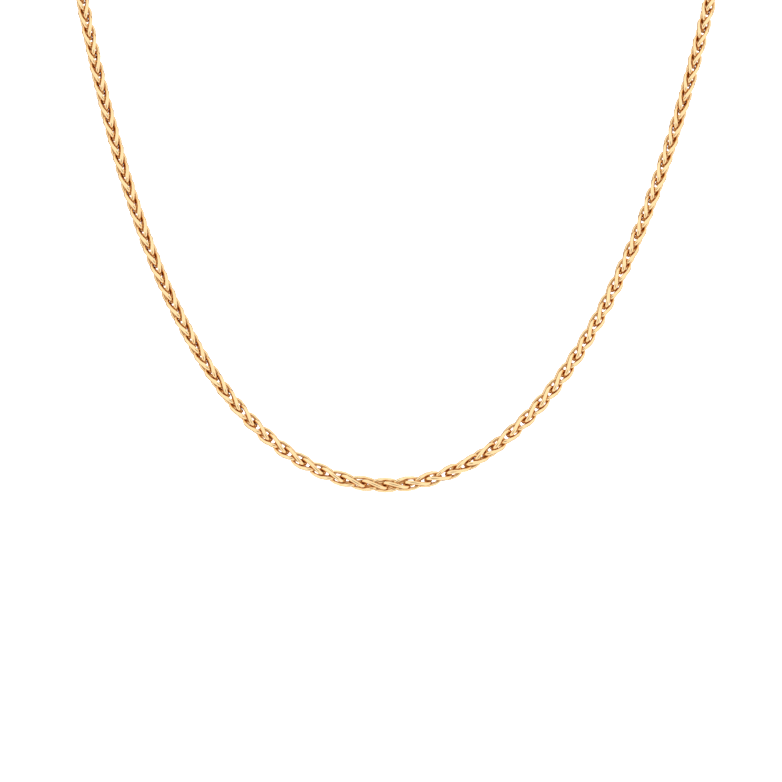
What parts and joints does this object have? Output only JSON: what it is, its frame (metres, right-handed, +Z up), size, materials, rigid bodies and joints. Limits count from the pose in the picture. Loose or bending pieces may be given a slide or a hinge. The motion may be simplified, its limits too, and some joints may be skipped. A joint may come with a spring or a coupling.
{
  "type": "wheat chain necklace",
  "caption": "Gold wheat chain necklace of twisted interlocking oval links with a plain barrel clasp, in the form it takes when worn.",
  "frame": {"origin": "middle of the clasp's axis, where the necklace lies on the nape of the neck", "axes": "+Z up, -Y towards the front of the wearer, +X along the clasp towards the wearer's left side"},
  "size_m": [0.1204, 0.1043, 0.1196],
  "materials": {
    "gold_wire": "polished",
    "gold_clasp": "polished"
  },
  "bodies": {
    "root": {"front_chain": "gold_wire", "back_chain": "gold_wire", "clasp": "gold_clasp"}
  },
  "joints": []
}
